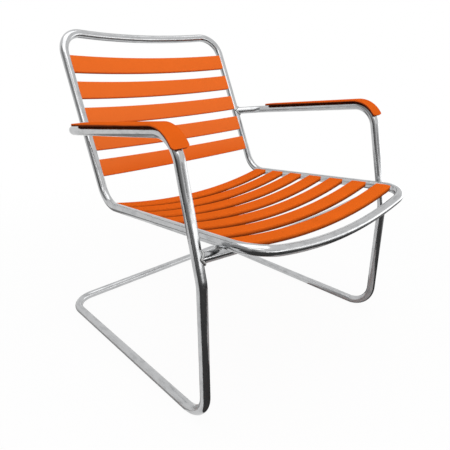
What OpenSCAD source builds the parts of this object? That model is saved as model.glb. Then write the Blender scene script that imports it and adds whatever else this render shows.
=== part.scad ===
// Cantilever lounge chair. One bent tube makes the arms, legs and floor runners, and
// a closed loop of the same tube carries dished slats for the seat and the back.
// Millimetres. The origin is on the floor, below the middle of the chair's outer box.
// +Z is up, the sitter faces -Y, and the sitter's left is +X.
// Corner places are where the centre lines of the straight tubes would meet.

/* [Tubes] */
// Outside diameter of the two frame tubes
tube_d = 20; // [16:1:24]
// Wall thickness of the tubes
tube_wall = 2; // [1:0.5:3]
// Outside diameter of the cross bar below the seat
bar_d = 20; // [12:1:22]

/* [Arms and base] */
// Spacing of the legs, centre to centre
leg_spacing = 602; // [580:1:680]
// Spacing of the rear floor corners, centre to centre
rear_spacing = 592; // [500:1:680]
// Length of the floor runners, from the legs to the rear floor tube
runner_len = 603; // [560:1:680]
// Height of the knee, where the legs start to lean back
knee_h = 307; // [260:1:330]
// Height of the corner between leg and arm
arm_h = 555; // [520:1:620]
// Distance from the lower leg back to the corner between leg and arm
arm_setback = 56; // [20:1:90]
// Length of the arm, from its front corner to its rear corner
arm_len = 377; // [340:1:395]
// Fall of the arm towards the rear
arm_fall = 37; // [10:1:60]
// Place of the arm's end on the back tube, up from the hip corner
arm_joint_up = 188; // [165:1:230]

/* [Seat and back loop] */
// Distance from the lower leg back to the hip corner, where seat and back meet
hip_back = 409.5; // [385:0.5:440]
// Height of the hip corner
hip_h = 340.5; // [320:0.5:380]
// Length of the seat, from the hip corner to the front corner
seat_len = 492.5; // [480:0.5:540]
// Angle by which the seat rises to the front
seat_rise = 4.4; // [0:0.1:10]
// Length of the back, from the hip corner to the top corner
back_len = 417.5; // [400:0.5:520]
// Angle by which the back leans from upright
back_lean = 22.7; // [10:0.1:35]
// Spacing of the top corners, centre to centre
top_spacing = 484; // [440:1:520]
// Spacing of the hip corners, centre to centre
hip_spacing = 498; // [440:1:520]
// Spacing of the front corners, centre to centre
front_spacing = 508; // [440:1:520]
// Depth of the backward bow of the top rail
top_bow = 28; // [10:1:45]
// Depth of the downward bow of the front rail
front_bow = 31; // [10:1:45]
// Depth of the downward bow of the cross bar
bar_bow = 15; // [14:0.5:24]
// Length of the straight ends of the cross bar, from the centre lines of the legs
bar_straight = 20; // [15:1:40]
// Gap between the cross bar and the seat rails, which the saddles fill
saddle_h = 3.5; // [2:0.1:8]
// Diameter of the saddles
saddle_d = 12; // [8:0.5:16]

/* [Bends] */
// Centre line radius of the bend from leg to floor runner
foot_bend = 62; // [40:1:90]
// Centre line radius of the rear floor corners
rear_bend = 60; // [40:1:90]
// Centre line radius of the knee
knee_bend = 90; // [50:1:200]
// Centre line radius of the bend from leg to arm
arm_bend = 55; // [40:1:80]
// Centre line radius of the bend at the rear of the arm
arm_end_bend = 40; // [30:1:55]
// Centre line radius of the top corners of the back
top_bend = 57; // [40:1:57]
// Centre line radius of the hip bends
hip_bend = 60; // [40:1:70]
// Centre line radius of the front corners of the seat
front_bend = 59; // [40:1:65]
// Straight tube left between a corner bend and the start of a bow
clamp_len = 2; // [1:0.5:10]
// Amount by which the tube draws in, on the radius, where it is bent
bend_draw = 0.02; // [0.02:0.01:0.1]

/* [Slats] */
// Width of a slat
slat_w = 40; // [30:1:46]
// Thickness of the sheet that the slats are pressed from
slat_sheet = 1.5; // [1:0.1:2.5]
// Depth of a slat's folded edges, from its top face
slat_depth = 9.5; // [4:0.5:10]
// Radius of a slat's folded edges
slat_edge_r = 2; // [1:0.1:3]
// Angle round the tube, up from its inner side, at which the slat's top face meets it
slat_meet = 45; // [35:1:55]
// Distance from the hip corner to the rear edge of the first seat slat
seat_slat_start = 24; // [15:0.5:30]
// Distance from one seat slat to the next
seat_slat_pitch = 65.4; // [56:0.1:66]
// Depth of the dish in a seat slat
seat_dish = 24; // [8:0.5:32]
// Distance from the top corner to the upper edge of the first back slat
back_slat_start = 59; // [59:0.5:75]
// Distance from one back slat to the next
back_slat_pitch = 62.7; // [52:0.1:66]
// Depth of the dish in a back slat
back_dish = 18.5; // [6:0.5:32]

/* [Armrests] */
// Width of an armrest pad
pad_w = 36; // [26:1:50]
// Thickness of an armrest pad
pad_t = 5.5; // [3:0.5:8]
// Radius of the long edges of a pad
pad_edge_r = 1.5; // [0.5:0.1:1.5]
// Radius of the front corners of a pad
pad_corner_r = 7; // [3:0.5:12]
// Distance from the arm's rear corner forward to the pad's rear end
pad_rear_gap = 42; // [5:1:60]
// Angle round the front bend at which the pad ends
pad_turn = 64; // [30:1:75]

/* [Joints] */
// Gap between a cut tube or slat end and the tube it meets
cope_gap = 0.2; // [0.1:0.05:0.5]
// Gap between a weld bead and the metal it joins
weld_gap = 0.1; // [0.05:0.05:0.3]
// Radius of the weld beads at the ends of the slats
bead_r = 2; // [1:0.1:2.4]
// Length of the weld beads at the ends of the slats
bead_len = 24; // [10:1:28]
// Width of the weld ring round the end of a tube
ring_w = 4; // [1.5:0.5:5]

/* [Hidden] */

// Facets of a full turn of a tube
tube_facets = 96;
$fn = tube_facets;
// Facets of a full turn of the small roundings and weld beads
edge_facets = 32;
// Flat steps in each folded edge of a slat
fold_steps = 4;
// Facets of a full turn of the tubes' bends
arc_facets = 360;
// Facets of a full turn of the slats' dishes
dish_facets = 720;
// Facets of a full turn of the tubes that shape the weld rings
ring_facets = 360;
back_slat_count = 5;
seat_slat_count = 7;
// Share of a slat bead's radius that its centre lies clear of the tube
bead_free_share = 0.5;
// Share of the tube's radius, out from its centre line, at which a weld ring starts
ring_foot_share = 0.4;
// Share of a weld ring's width by which it climbs along the tube end
ring_climb_share = 0.8;
// Length by which cuts run past the faces that they open
overrun = 1;
// Length by which a straight tube laps over the start of a bend
lap = 0.1;
left = 1;
right = -1;

tube_r = tube_d / 2;
bore_r = tube_r - tube_wall;
bar_r = bar_d / 2;
// Radius to which the weld rings climb round the tube that they stand on
ring_reach = tube_r + ring_w * ring_climb_share;

// Vectors of the chair's own directions
across = [1, 0, 0];
seat_fore = [0, -cos(seat_rise), sin(seat_rise)];
seat_up = [0, sin(seat_rise), cos(seat_rise)];
back_up = [0, sin(back_lean), cos(back_lean)];
back_fore = [0, -cos(back_lean), sin(back_lean)];

// Place of the legs, so that the outer box is centred on the origin
front_reach = seat_len * cos(seat_rise) - hip_back + front_bow * sin(seat_rise) + tube_r;
rear_reach = runner_len + tube_r;
leg_y = (front_reach - rear_reach) / 2;

// Corners of the arm and base tube, for a side of +1 or -1
function rear_corner(side) = [side * rear_spacing / 2, leg_y + runner_len, tube_r];
function foot_corner(side) = [side * leg_spacing / 2, leg_y, tube_r];
function knee_corner(side) = [side * leg_spacing / 2, leg_y, knee_h];
function arm_corner(side) = [side * leg_spacing / 2, leg_y + arm_setback, arm_h];
function elbow_corner(side) = arm_corner(side) + [0, arm_len, -arm_fall];

// Corners of the seat and back loop
hip_mid = [0, leg_y + hip_back, hip_h];
front_mid = hip_mid + seat_len * seat_fore;
top_mid = hip_mid + back_len * back_up;
function hip_corner(side) = hip_mid + side * hip_spacing / 2 * across;
function front_corner(side) = front_mid + side * front_spacing / 2 * across;
function top_corner(side) = top_mid + side * top_spacing / 2 * across;
function arm_joint(side) =
    hip_corner(side) + (top_corner(side) - hip_corner(side)) * arm_joint_up / back_len;

// Middle corner of a bowed rail, from half its spacing, its bow and its corner bend
function bow_slope(half_spacing, bow, bend_r) = 2 * atan(bow / (half_spacing + bend_r));
top_drop = top_spacing / 2 * tan(bow_slope(top_spacing / 2, top_bow, top_bend));
front_drop = front_spacing / 2 * tan(bow_slope(front_spacing / 2, front_bow, front_bend));
top_bow_corner = top_mid - top_drop * back_fore;
front_bow_corner = front_mid - front_drop * seat_up;

// Directions, bends and the straight length that a bend takes from its corner
function unit(v) = v / norm(v);
function turn(before, corner, after) = acos(unit(corner - before) * unit(after - corner));
function set_back(before, corner, after, bend_r) = bend_r * tan(turn(before, corner, after) / 2);
function bow_r(before, corner, middle, after, bend_r) =
    (norm(middle - corner) - set_back(before, corner, middle, bend_r) - clamp_len)
    / tan(turn(corner, middle, after) / 2);

// Routes of the two tubes, and the radius of the bend at each corner
base_route = concat(
    [arm_joint(left), elbow_corner(left), arm_corner(left), knee_corner(left)],
    [foot_corner(left), rear_corner(left), rear_corner(right), foot_corner(right)],
    [knee_corner(right), arm_corner(right), elbow_corner(right), arm_joint(right)]
);
base_bends = [
    0, arm_end_bend, arm_bend, knee_bend, foot_bend, rear_bend,
    rear_bend, foot_bend, knee_bend, arm_bend, arm_end_bend, 0
];
loop_route = [
    top_bow_corner, top_corner(left), hip_corner(left), front_corner(left),
    front_bow_corner, front_corner(right), hip_corner(right), top_corner(right)
];
top_bow_r = bow_r(hip_corner(left), top_corner(left), top_bow_corner, top_corner(right), top_bend);
front_bow_r = bow_r(
    hip_corner(left), front_corner(left), front_bow_corner, front_corner(right), front_bend);
loop_bends = [
    top_bow_r, top_bend, hip_bend, front_bend,
    front_bow_r, front_bend, hip_bend, top_bend
];

// Side rail of the loop, from just past the top corner's bend to just past the front one's
function past_bend(before, corner, after, bend_r) =
    corner + unit(after - corner) * (set_back(before, corner, after, bend_r) + clamp_len);
function side_route(side) = [
    past_bend(hip_corner(side), top_corner(side), top_bow_corner, top_bend),
    top_corner(side), hip_corner(side), front_corner(side),
    past_bend(hip_corner(side), front_corner(side), front_bow_corner, front_bend)
];
side_bends = [0, top_bend, hip_bend, front_bend, 0];

// Half the spacing of the side rails, along the seat and along the back
function half_gap(low, high, share) = (low + (high - low) * share) / 2;
function seat_half_gap(at) = half_gap(hip_spacing, front_spacing, at / seat_len);
function back_half_gap(at) = half_gap(top_spacing, hip_spacing, at / back_len);

// Cross bar, bowed like the front rail, with its ends on the legs, above or below the knees
leg_up = unit(arm_corner(left) - knee_corner(left));
function below_seat(from, along, depth) =
    from - along * (depth + (from - hip_mid) * seat_up) / (along * seat_up);
function on_leg(side, depth) =
    let (leaning = below_seat(knee_corner(side), leg_up, depth))
    leaning.z > knee_h ? leaning : below_seat(knee_corner(side), [0, 0, 1], depth);
bar_slope = bow_slope(leg_spacing / 2, bar_bow, bar_straight);
bar_bow_r = (leg_spacing / 2 / cos(bar_slope) - bar_straight) / tan(bar_slope);
rail_out = seat_half_gap((on_leg(left, 0) - hip_mid) * seat_fore);
bar_sink = bar_bow - bar_bow_r + sqrt(pow(bar_bow_r, 2) - pow(rail_out, 2));
bar_below = tube_r + saddle_h + bar_r;
function bar_end(side) = on_leg(side, bar_below - bar_sink);
bar_at = (bar_end(left) - hip_mid) * seat_fore;
function bar_along(side) =
    let (bar_turn = asin(rail_out / bar_bow_r))
    side * cos(bar_turn) * across + sin(bar_turn) * seat_up;
bar_drop = leg_spacing / 2 * tan(bar_slope);
bar_middle = (bar_end(left) + bar_end(right)) / 2 - bar_drop * seat_up;
bar_route = [bar_end(left), bar_middle, bar_end(right)];
bar_bends = [0, bar_bow_r, 0];

// Where the slats meet the tubes, and how far their ends run into the cope
meet_in = tube_r * cos(slat_meet);
meet_up = tube_r * sin(slat_meet);
slat_inset = tube_r * (1 - sin(slat_meet)) + cope_gap;
function seat_slat_at(i) = seat_slat_start + slat_w / 2 + i * seat_slat_pitch;
function back_slat_at(i) = back_slat_start + slat_w / 2 + i * back_slat_pitch;
function dish_r(half, dish) = (pow(half - meet_in, 2) + pow(dish, 2)) / (2 * dish);
function dish_centre(half, dish) = meet_up - dish + dish_r(half, dish);

// Meeting point of a circle round [0, height] and a circle round [half, 0], on its inner side
function circles_meet(height, r_dish, half, r_tube) =
    let (
        apart = norm([half, height]),
        to_tube = [half, -height] / apart,
        along = (pow(r_dish, 2) - pow(r_tube, 2) + pow(apart, 2)) / (2 * apart),
        aside = sqrt(pow(r_dish, 2) - pow(along, 2))
    )
    [0, height] + along * to_tube + aside * [to_tube.y, -to_tube.x];

module placed(at, x, y, z)
    multmatrix([
        [x.x, y.x, z.x, at.x],
        [x.y, y.y, z.y, at.y],
        [x.z, y.z, z.z, at.z],
        [0, 0, 0, 1]
    ]) children();

// Straight round rod from one point to another
module rod(from, to, r) {
    along = unit(to - from);
    side = unit(cross(abs(along.x) < abs(along.z) ? [1, 0, 0] : [0, 0, 1], along));
    placed(from, side, cross(along, side), along)
        cylinder(h = norm(to - from), r = r);
}

// Bent round rod at a corner
module elbow(before, corner, after, bend_r, r) {
    into = unit(corner - before);
    out = unit(after - corner);
    axis = unit(cross(into, out));
    start = corner - into * set_back(before, corner, after, bend_r);
    outward = cross(into, axis);
    placed(start - outward * bend_r, outward, into, axis)
        rotate_extrude(angle = turn(before, corner, after), $fn = arc_facets)
            translate([bend_r, 0])
                circle(r = r - bend_draw, $fn = tube_facets);
}

// Round rod along a route of corners, each with its bend
module run(route, bends, r, closed = false) {
    count = len(route);
    ends = closed ? [] : [0, count - 1];
    function before(i) = route[(i + count - 1) % count];
    function after(i) = route[(i + 1) % count];
    function is_end(i) = !closed && (i == 0 || i == count - 1);
    function taken(i) = is_end(i) ? 0 : set_back(before(i), route[i], after(i), bends[i]) - lap;
    for (i = [0 : closed ? count - 1 : count - 2]) {
        next = (i + 1) % count;
        along = unit(route[next] - route[i]);
        rod(route[i] + along * taken(i), route[next] - along * taken(next), r);
    }
    for (i = [0 : count - 1])
        if (!is_end(i))
            elbow(before(i), route[i], after(i), bends[i], r);
}

module side_rail(side, r) run(side_route(side), side_bends, r);

module both_side_rails(r)
    for (side = [left, right])
        side_rail(side, r);

module leg(side, r)
    run([foot_corner(side), knee_corner(side), arm_corner(side)], [0, knee_bend, 0], r);

// Rear stretch of an arm, from the back tube round the bend
module arm_end(side, r)
    run([arm_joint(side), elbow_corner(side), arm_corner(side)], [0, arm_end_bend, 0], r);

// Frames of the seat and of the back, at a distance from the hip corner or the top corner
module on_seat(at) placed(hip_mid + at * seat_fore, across, -seat_fore, seat_up) children();
module on_back(at) placed(top_mid - at * back_up, across, back_up, back_fore) children();

// Section of a slat, with its top face at zero and its folded edges running down. Each fold
// is a row of flat steps.
function fold_point(end, step) =
    let (turned = 90 * step / fold_steps)
    [
        slat_edge_r * (1 - sin(turned)),
        end * (slat_w / 2 - slat_edge_r * (1 - cos(turned)))
    ];
slat_outline = concat(
    [[slat_depth, -slat_w / 2]],
    [for (i = [0 : fold_steps]) fold_point(-1, i)],
    [for (i = [0 : fold_steps]) fold_point(1, fold_steps - i)],
    [[slat_depth, slat_w / 2], [slat_depth, slat_w / 2 - slat_sheet]],
    [[slat_sheet, slat_w / 2 - slat_sheet], [slat_sheet, slat_sheet - slat_w / 2]],
    [[slat_depth, slat_sheet - slat_w / 2]]
);

// Dished slat between rails that lie half a gap to each side
module slat(half, dish) {
    r = dish_r(half, dish);
    reach = asin((half - slat_inset) / r);
    translate([0, 0, dish_centre(half, dish)])
        rotate([90, 0, 0])
            rotate([0, 0, -90 - reach])
                rotate_extrude(angle = 2 * reach, $fn = dish_facets)
                    translate([r, 0])
                        polygon(slat_outline);
}

module back_slat(i)
    color([0.91, 0.39, 0.12])
        difference() {
            on_back(back_slat_at(i)) slat(back_half_gap(back_slat_at(i)), back_dish);
            both_side_rails(tube_r + cope_gap);
        }

module seat_slat(i)
    color([0.91, 0.39, 0.12])
        difference() {
            on_seat(seat_slat_at(i)) slat(seat_half_gap(seat_slat_at(i)), seat_dish);
            both_side_rails(tube_r + cope_gap);
        }

// Weld beads in the corners between a slat's underside and its two rails, partly cut by them
module slat_beads(half, dish) {
    r_dish = dish_r(half, dish) + slat_sheet + weld_gap + bead_r;
    r_tube = tube_r + weld_gap + bead_r * bead_free_share;
    spot = circles_meet(dish_centre(half, dish), r_dish, half, r_tube);
    for (side = [left, right])
        translate([side * spot.x, bead_len / 2, spot.y])
            rotate([90, 0, 0])
                cylinder(h = bead_len, r = bead_r, $fn = edge_facets);
}

module back_slat_welds()
    color([0.72, 0.34, 0.14])
        difference() {
            for (i = [0 : back_slat_count - 1])
                on_back(back_slat_at(i)) slat_beads(back_half_gap(back_slat_at(i)), back_dish);
            both_side_rails(tube_r + weld_gap);
        }

module seat_slat_welds()
    color([0.72, 0.34, 0.14])
        difference() {
            for (i = [0 : seat_slat_count - 1])
                on_seat(seat_slat_at(i)) slat_beads(seat_half_gap(seat_slat_at(i)), seat_dish);
            both_side_rails(tube_r + weld_gap);
        }

module arm_and_base_tube()
    color([0.78, 0.79, 0.8])
        difference() {
            run(base_route, base_bends, tube_r);
            run(base_route, base_bends, bore_r);
            both_side_rails(tube_r + cope_gap);
        }

module seat_and_back_tube()
    color([0.8, 0.81, 0.82])
        difference() {
            run(loop_route, loop_bends, tube_r, closed = true);
            run(loop_route, loop_bends, bore_r, closed = true);
        }

module cross_bar()
    color([0.75, 0.76, 0.77])
        difference() {
            run(bar_route, bar_bends, bar_r);
            run(bar_route, bar_bends, bar_r - tube_wall);
            for (side = [left, right])
                leg(side, tube_r + cope_gap);
        }

// Frame of an arm: Y runs back along its straight, Z stands up from it, and the zero is
// where the front bend starts
arm_rear = unit([0, arm_len, -arm_fall]);
arm_up = cross(across, arm_rear);
arm_start = set_back(knee_corner(left), arm_corner(left), elbow_corner(left), arm_bend);
pad_under = tube_r + cope_gap;
pad_straight = norm([arm_len, arm_fall]) - arm_start - pad_rear_gap;
module on_arm(side)
    placed(arm_corner(side) + arm_start * arm_rear, across, arm_rear, arm_up) children();

// Section of a pad, across its width and up from its underside
module pad_section()
    union() {
        translate([-pad_w / 2, pad_edge_r])
            square([pad_w, pad_t - 2 * pad_edge_r]);
        translate([pad_edge_r - pad_w / 2, 0])
            square([pad_w - 2 * pad_edge_r, pad_t]);
        for (x = [pad_edge_r - pad_w / 2, pad_w / 2 - pad_edge_r], y = [pad_edge_r, pad_t - pad_edge_r])
            translate([x, y])
                circle(r = pad_edge_r);
    }

// Rounds off one front corner of a pad, in the frame of its front end
module pad_corner_cut(end)
    difference() {
        translate([end > 0 ? pad_w / 2 - pad_corner_r : -pad_w / 2 - overrun, -overrun, -overrun])
            cube([pad_corner_r + overrun, pad_corner_r + overrun, pad_t + 2 * overrun]);
        translate([end * (pad_w / 2 - pad_corner_r), pad_corner_r, -2 * overrun])
            cylinder(h = pad_t + 4 * overrun, r = pad_corner_r);
    }

module pad(side)
    color([0.9, 0.38, 0.11])
        on_arm(side)
            difference() {
                union() {
                    translate([0, pad_straight, pad_under])
                        rotate([90, 0, 0])
                            linear_extrude(height = pad_straight)
                                pad_section($fn = edge_facets);
                    translate([0, 0, -arm_bend])
                        rotate([90, 0, 90])
                            rotate([0, 0, 90])
                                rotate_extrude(angle = pad_turn, $fn = arc_facets)
                                    translate([arm_bend + pad_under, 0])
                                        rotate([0, 0, -90])
                                            pad_section($fn = edge_facets);
                }
                translate([0, 0, -arm_bend])
                    rotate([pad_turn, 0, 0])
                        translate([0, 0, arm_bend + pad_under])
                            for (end = [-1, 1])
                                pad_corner_cut(end);
            }

// Outside of the weld ring round the end of a tube that meets the side of another
module ring_blank(at, end_to, end_r) {
    foot = at + unit(end_to - at) * tube_r * ring_foot_share;
    rod(foot, end_to, end_r + ring_w);
}

module arm_end_welds()
    color([0.6, 0.6, 0.6])
        for (side = [left, right])
            difference() {
                intersection() {
                    ring_blank(arm_joint(side), elbow_corner(side), tube_r, $fn = ring_facets);
                    rod(hip_corner(side), top_corner(side), ring_reach, $fn = ring_facets);
                }
                rod(hip_corner(side), top_corner(side), tube_r + cope_gap, $fn = ring_facets);
                arm_end(side, tube_r + weld_gap, $fn = ring_facets);
            }

module cross_bar_welds()
    color([0.6, 0.6, 0.6])
        for (side = [left, right])
            difference() {
                intersection() {
                    ring_blank(bar_end(side), bar_middle, bar_r, $fn = ring_facets);
                    leg(side, ring_reach, $fn = ring_facets);
                }
                leg(side, tube_r + cope_gap, $fn = ring_facets);
                rod(bar_end(side), bar_middle, bar_r + weld_gap, $fn = ring_facets);
            }

// Saddles between the cross bar and the seat rails that it carries
module rail_saddles()
    color([0.6, 0.6, 0.6])
        for (side = [left, right]) {
            rail_point = hip_mid + bar_at * seat_fore + side * seat_half_gap(bar_at) * across;
            bar_point = rail_point - bar_below * seat_up;
            reach = bar_along(side) * saddle_d;
            difference() {
                rod(bar_point, rail_point, saddle_d / 2);
                rod(front_corner(side), hip_corner(side), tube_r + weld_gap);
                rod(bar_point - reach, bar_point + reach, bar_r + weld_gap);
            }
        }

arm_and_base_tube();
seat_and_back_tube();
cross_bar();
back_slat(0);  // back_slat_1
back_slat(1);  // back_slat_2
back_slat(2);  // back_slat_3
back_slat(3);  // back_slat_4
back_slat(4);  // back_slat_5
seat_slat(0);  // seat_slat_1
seat_slat(1);  // seat_slat_2
seat_slat(2);  // seat_slat_3
seat_slat(3);  // seat_slat_4
seat_slat(4);  // seat_slat_5
seat_slat(5);  // seat_slat_6
seat_slat(6);  // seat_slat_7
pad(left);  // armrest_left
pad(right);  // armrest_right
arm_end_welds();
cross_bar_welds();
rail_saddles();
back_slat_welds();
seat_slat_welds();
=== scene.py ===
"""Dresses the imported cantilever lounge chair: bright bent tubes, painted slats and armrests, and weld beads.

A pale studio stands round it. Metres, in the chair's own frame: +Z is up, the sitter faces -Y and the
sitter's left is +X.
"""

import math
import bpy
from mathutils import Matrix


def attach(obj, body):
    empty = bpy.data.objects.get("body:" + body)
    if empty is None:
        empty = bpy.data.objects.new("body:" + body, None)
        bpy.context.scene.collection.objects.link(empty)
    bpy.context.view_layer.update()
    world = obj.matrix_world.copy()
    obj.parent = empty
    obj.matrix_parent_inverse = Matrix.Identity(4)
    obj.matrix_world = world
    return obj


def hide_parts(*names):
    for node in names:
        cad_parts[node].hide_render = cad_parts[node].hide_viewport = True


bl_info = {
    "name": "Cantilever Lounge Chair",
    "version": (1, 0, 0),
    "blender": (4, 5, 0),
    "location": "3D View > Sidebar > Lounge Chair",
    "description": "Builds a slatted cantilever lounge chair of bent steel tube, and a studio round it",
    "category": "Add Mesh",
}

import bpy
from bpy.props import FloatProperty, FloatVectorProperty, IntProperty, PointerProperty
from mathutils import Matrix, Vector

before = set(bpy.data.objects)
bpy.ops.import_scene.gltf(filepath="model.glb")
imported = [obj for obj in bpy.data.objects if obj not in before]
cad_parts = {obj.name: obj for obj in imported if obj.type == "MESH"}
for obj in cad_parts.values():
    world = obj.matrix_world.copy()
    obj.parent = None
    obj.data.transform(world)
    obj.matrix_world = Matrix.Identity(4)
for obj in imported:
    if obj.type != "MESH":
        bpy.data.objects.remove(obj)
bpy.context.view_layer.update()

BODY = "root"
LEFT, RIGHT = 1, -1
ACROSS = Vector((1, 0, 0))
WHITE = (1, 1, 1, 1)
# Point attribute of the swept meshes: distance along the piece, then the place in its section
PLACE = "place"


# Sizes and colours that a user would change

def size(name, description, default):
    return FloatProperty(
        name=name, description=description, default=default, min=0, unit="LENGTH", precision=5)


def lean(name, description, degrees):
    return FloatProperty(name=name, description=description, default=math.radians(degrees), subtype="ANGLE")


def share(name, description, default):
    return FloatProperty(name=name, description=description, default=default, min=0, max=1, subtype="FACTOR")


def colour(name, description, default):
    return FloatVectorProperty(
        name=name, description=description, default=default, size=3, min=0, max=1, subtype="COLOR")


class TubeSizes(bpy.types.PropertyGroup):
    """Sizes of the arm and base tube, the seat and back loop and the cross bar"""

    diameter: size("Tube diameter", "Outside diameter of the frame tubes", 0.020)
    leg_spacing: size("Leg spacing", "Spacing of the legs, centre to centre", 0.602)
    rear_spacing: size("Rear spacing", "Spacing of the rear floor corners", 0.592)
    runner_length: size("Runner length", "From the legs to the rear floor tube", 0.603)
    knee_height: size("Knee height", "Height where the legs start to lean back", 0.307)
    arm_height: size("Arm height", "Height of the corner between leg and arm", 0.555)
    arm_setback: size("Arm setback", "From the lower leg back to the arm's front corner", 0.056)
    arm_length: size("Arm length", "From the arm's front corner to its rear corner", 0.377)
    arm_fall: size("Arm fall", "Fall of the arm towards the rear", 0.037)
    arm_joint: size("Arm joint", "Place of the arm's end, up from the hip corner", 0.188)
    hip_back: size("Hip distance", "From the lower leg back to the hip corner", 0.4095)
    hip_height: size("Hip height", "Height of the hip corner", 0.3405)
    seat_length: size("Seat length", "From the hip corner to the front corner", 0.4925)
    seat_rise: lean("Seat rise", "Angle by which the seat rises to the front", 4.4)
    back_length: size("Back length", "From the hip corner to the top corner", 0.4175)
    back_lean: lean("Back lean", "Angle by which the back leans from upright", 22.7)
    top_spacing: size("Top spacing", "Spacing of the top corners", 0.484)
    hip_spacing: size("Hip spacing", "Spacing of the hip corners", 0.498)
    front_spacing: size("Front spacing", "Spacing of the front corners", 0.508)
    top_bow: size("Top bow", "Depth of the backward bow of the top rail", 0.028)
    front_bow: size("Front bow", "Depth of the downward bow of the front rail", 0.031)
    bar_bow: size("Bar bow", "Depth of the downward bow of the cross bar", 0.015)
    bar_straight: size("Bar ends", "Length of the cross bar's straight ends", 0.020)
    saddle_height: size("Saddle height", "Gap between the cross bar and the seat rails", 0.0035)
    clamp: size("Clamp length", "Straight tube between a corner bend and a bow", 0.002)
    foot_bend: size("Foot bend", "Radius of the bend from leg to runner", 0.062)
    rear_bend: size("Rear bend", "Radius of the rear floor corners", 0.060)
    knee_bend: size("Knee bend", "Radius of the knee", 0.090)
    arm_bend: size("Arm bend", "Radius of the bend from leg to arm", 0.055)
    arm_end_bend: size("Arm end bend", "Radius of the bend at the rear of the arm", 0.040)
    top_bend: size("Top bend", "Radius of the top corners", 0.057)
    hip_bend: size("Hip bend", "Radius of the hip bends", 0.060)
    front_bend: size("Front bend", "Radius of the front corners", 0.059)


class SlatSizes(bpy.types.PropertyGroup):
    """Sizes of the slats of seat and back"""

    width: size("Slat width", "Width of a slat", 0.040)
    sheet: size("Sheet", "Thickness of the sheet", 0.0015)
    depth: size("Slat depth", "Depth of the folded edges", 0.0095)
    fold: size("Fold radius", "Radius of the folded edges", 0.002)
    meet: lean("Meeting angle", "Angle round the tube at which the top face meets it", 45)
    seat_start: size("Seat start", "From the hip corner to the first seat slat", 0.024)
    seat_pitch: size("Seat pitch", "From one seat slat to the next", 0.0654)
    seat_dish: size("Seat dish", "Depth of the dish in a seat slat", 0.024)
    back_start: size("Back start", "From the top corner to the first back slat", 0.059)
    back_pitch: size("Back pitch", "From one back slat to the next", 0.0627)
    back_dish: size("Back dish", "Depth of the dish in a back slat", 0.0185)
    seat_count: IntProperty(name="Seat slats", description="Number of seat slats", default=7, min=1)
    back_count: IntProperty(name="Back slats", description="Number of back slats", default=5, min=1)


class WeldSizes(bpy.types.PropertyGroup):
    """Sizes of the joints and weld beads"""

    cope: size("Cope gap", "Gap between a cut end and the tube that it meets", 0.0002)
    gap: size("Bead gap", "Gap between a bead and the metal beside it", 0.0001)
    bead: size("Bead radius", "Radius of the beads at the ends of the slats", 0.002)
    bead_length: size("Bead length", "Length of the beads at the ends of the slats", 0.024)
    ring: size("Ring radius", "Radius of the weld round a tube end", 0.0024)
    ripple: size("Ripple length", "Length of one ripple of a bead", 0.0016)
    ripple_share: share("Ripple depth", "Depth of the ripples, as a share of the bead's radius", 0.16)
    seed: IntProperty(name="Weld seed", description="Fixes the beads' irregular widths", default=7)


class Finish(bpy.types.PropertyGroup):
    """Colours of the chair"""

    steel: colour("Steel", "Bright zinc coated tube", (0.50, 0.505, 0.512))
    dull_steel: colour("Dull steel", "Dulled patches of the tube", (0.30, 0.305, 0.31))
    paint: colour("Paint", "Orange paint of the slats", (0.80, 0.138, 0.012))
    # The pads carry the same orange paint as the slats; this copy is darker, as painted shade.
    shaded_pad_orange: colour("Pad paint", "Orange paint of the armrest pads", (0.725, 0.117, 0.0105))
    # Painted light: a lighter copy of the orange that the back slats take on with height.
    back_painted_light: colour("Faded paint", "Paint of the back, bleached by the sun", (0.84, 0.175, 0.032))
    # Painted shade on the lower part of the slats' folded edges; the same dark orange also colours the dust
    # specks and the dull clouds of the painted weld beads.
    dust_and_shade_paint: colour("Worn paint", "Paint on the folded edges, darkened by grime", (0.16, 0.028, 0.006))
    shaded_paint: colour("Shaded paint", "Undersides and lower sides of the pads", (0.06, 0.02, 0.012))
    weld: colour("Weld", "Zinc coated weld metal", (0.52, 0.52, 0.51))
    shade_low: size("Pad shade", "A pad's sides are dark up to this height over the arm's middle", 0.0125)
    shade_high: size("Pad shade end", "A pad is bright from this height over the arm's middle", 0.0148)
    shade_taper: size("Pad shade taper", "How much lower the dark sides end near the front bend", 0.0018)


class Studio(bpy.types.PropertyGroup):
    """Camera, light and floor"""

    eye: FloatVectorProperty(
        name="Camera place", description="Place of the camera", default=(-0.6972, -0.74554, 0.6573),
        subtype="TRANSLATION", unit="LENGTH", size=3)
    turn: lean("Camera turn", "Turn of the view from +Y towards +X", 42.789)
    dip: lean("Camera dip", "Angle of the view below the horizon", 21.097)
    roll: lean("Camera roll", "Turn of the camera round its view", -0.441)
    focal: FloatProperty(
        name="Focal length", description="Focal length in millimetres", default=33.985,
        subtype="DISTANCE_CAMERA")
    ambient: FloatProperty(
        name="Ambient light", description="Strength of the even light from all round", default=0.6, min=0)
    floor: colour("Floor", "Colour of the studio floor", (0.9, 0.9, 0.9))


def settings():
    return bpy.context.scene.lounge_chair


# Node trees, written as Python expressions

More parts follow.
